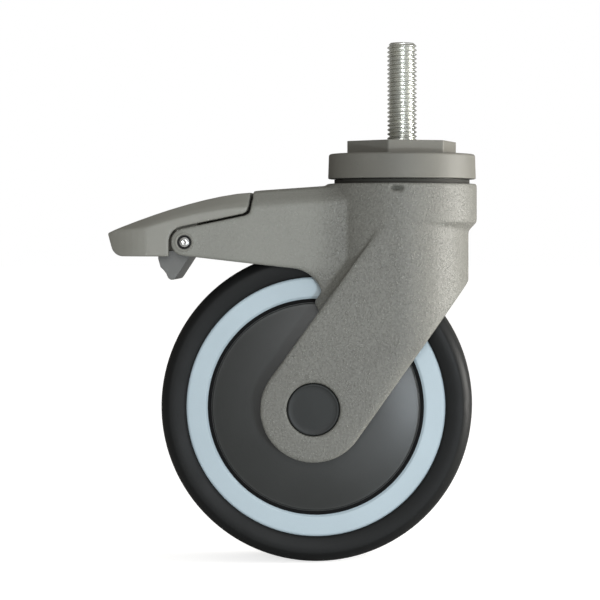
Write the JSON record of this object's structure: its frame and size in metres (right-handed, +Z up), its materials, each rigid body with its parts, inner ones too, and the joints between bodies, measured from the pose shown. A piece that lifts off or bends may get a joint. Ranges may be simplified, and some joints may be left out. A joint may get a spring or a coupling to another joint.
{
  "type": "braked swivel castor",
  "caption": "Swivel castor with a threaded stem, a plastic twin-leg fork, a rubber-tyred wheel and a foot pedal that brakes the wheel and locks the swivel.",
  "frame": {"origin": "centre of the stem's foot, on the flat top of the cap's hexagon", "axes": "+Z up the stem, +X away from the pedal, Y along the axle"},
  "size_m": [0.1479, 0.0608, 0.209],
  "materials": {
    "zinc_steel": "bright zinc plate",
    "bearing_steel": "ground and polished",
    "dark_steel": "dark sintered steel",
    "cage_brass": "pressed brass",
    "cap_plastic": "smooth satin nylon",
    "fork_plastic": "fine spark-textured nylon",
    "pedal_plastic": "smooth satin nylon",
    "lever_plastic": "satin glass-filled nylon",
    "dark_plastic": "satin moulding",
    "rim_plastic": "pale satin nylon",
    "tyre_rubber": "smooth elastic rubber",
    "seal_rubber": "matt rubber",
    "shoe_rubber": "matt friction rubber",
    "spring_steel": "drawn wire",
    "bright_pin": "bright plated"
  },
  "bodies": {
    "mount": {"threaded_stem": "zinc_steel", "top_cap": "cap_plastic", "swivel_inner_ring": "bearing_steel", "lock_ring": "dark_steel", "kingpin_washer": "zinc_steel", "kingpin_nut": "zinc_steel"},
    "swivel_cage_body": {"swivel_balls": "bearing_steel", "swivel_cage": "cage_brass"},
    "fork_body": {"fork": "fork_plastic", "dust_seal": "seal_rubber", "swivel_outer_ring": "bearing_steel", "axle_bolt": "zinc_steel", "axle_nut": "zinc_steel", "axle_sleeve": "zinc_steel", "bearing_spacer": "zinc_steel", "side_spacer_right": "zinc_steel", "side_spacer_left": "zinc_steel", "wheel_inner_ring_right": "bearing_steel", "wheel_inner_ring_left": "bearing_steel", "hub_cap_right": "dark_plastic", "hub_cap_left": "dark_plastic", "pedal_pin": "bright_pin", "lever_pin": "zinc_steel", "return_spring": "spring_steel"},
    "wheel": {"wheel_rim": "rim_plastic", "tyre": "tyre_rubber", "thread_guard_right": "dark_plastic", "thread_guard_left": "dark_plastic", "wheel_outer_ring_right": "bearing_steel", "wheel_outer_ring_left": "bearing_steel"},
    "wheel_cages": {"wheel_balls_right": "bearing_steel", "wheel_balls_left": "bearing_steel", "wheel_cage_right": "cage_brass", "wheel_cage_left": "cage_brass"},
    "pedal_body": {"pedal": "pedal_plastic"},
    "lever_body": {"brake_lever": "lever_plastic", "brake_shoe": "shoe_rubber", "shoe_rivets": "zinc_steel"}
  },
  "joints": [
    {"name": "swivel", "type": "hinge", "parent": "mount", "child": "fork_body", "pos_m": [0, 0, -0.0213], "axis": [0, 0, 1], "continuous": true},
    {"name": "swivel_cage_turn", "type": "hinge", "parent": "mount", "child": "swivel_cage_body", "pos_m": [0, 0, -0.0213], "axis": [0, 0, 1], "continuous": true},
    {"name": "wheel_spin", "type": "hinge", "parent": "fork_body", "child": "wheel", "pos_m": [-0.034, 0, -0.1065], "axis": [0, 1, 0], "continuous": true},
    {"name": "wheel_cage_turn", "type": "hinge", "parent": "fork_body", "child": "wheel_cages", "pos_m": [-0.034, 0, -0.1065], "axis": [0, 1, 0], "continuous": true},
    {"name": "pedal_press", "type": "hinge", "parent": "fork_body", "child": "pedal_body", "pos_m": [-0.0856, 0, -0.0407], "axis": [0, -1, 0], "range_deg": [0, 22]},
    {"name": "lever_swing", "type": "hinge", "parent": "fork_body", "child": "lever_body", "pos_m": [-0.04, 0, -0.033], "axis": [0, -1, 0], "range_deg": [0, 4], "deforming": ["return_spring"]}
  ],
  "couplings": [
    {"joint": "swivel_cage_turn", "follows": "swivel", "ratio": 0.6175},
    {"joint": "wheel_cage_turn", "follows": "wheel_spin", "ratio": 0.62},
    {"joint": "lever_swing", "follows": "pedal_press", "ratio": 0.1818}
  ]
}
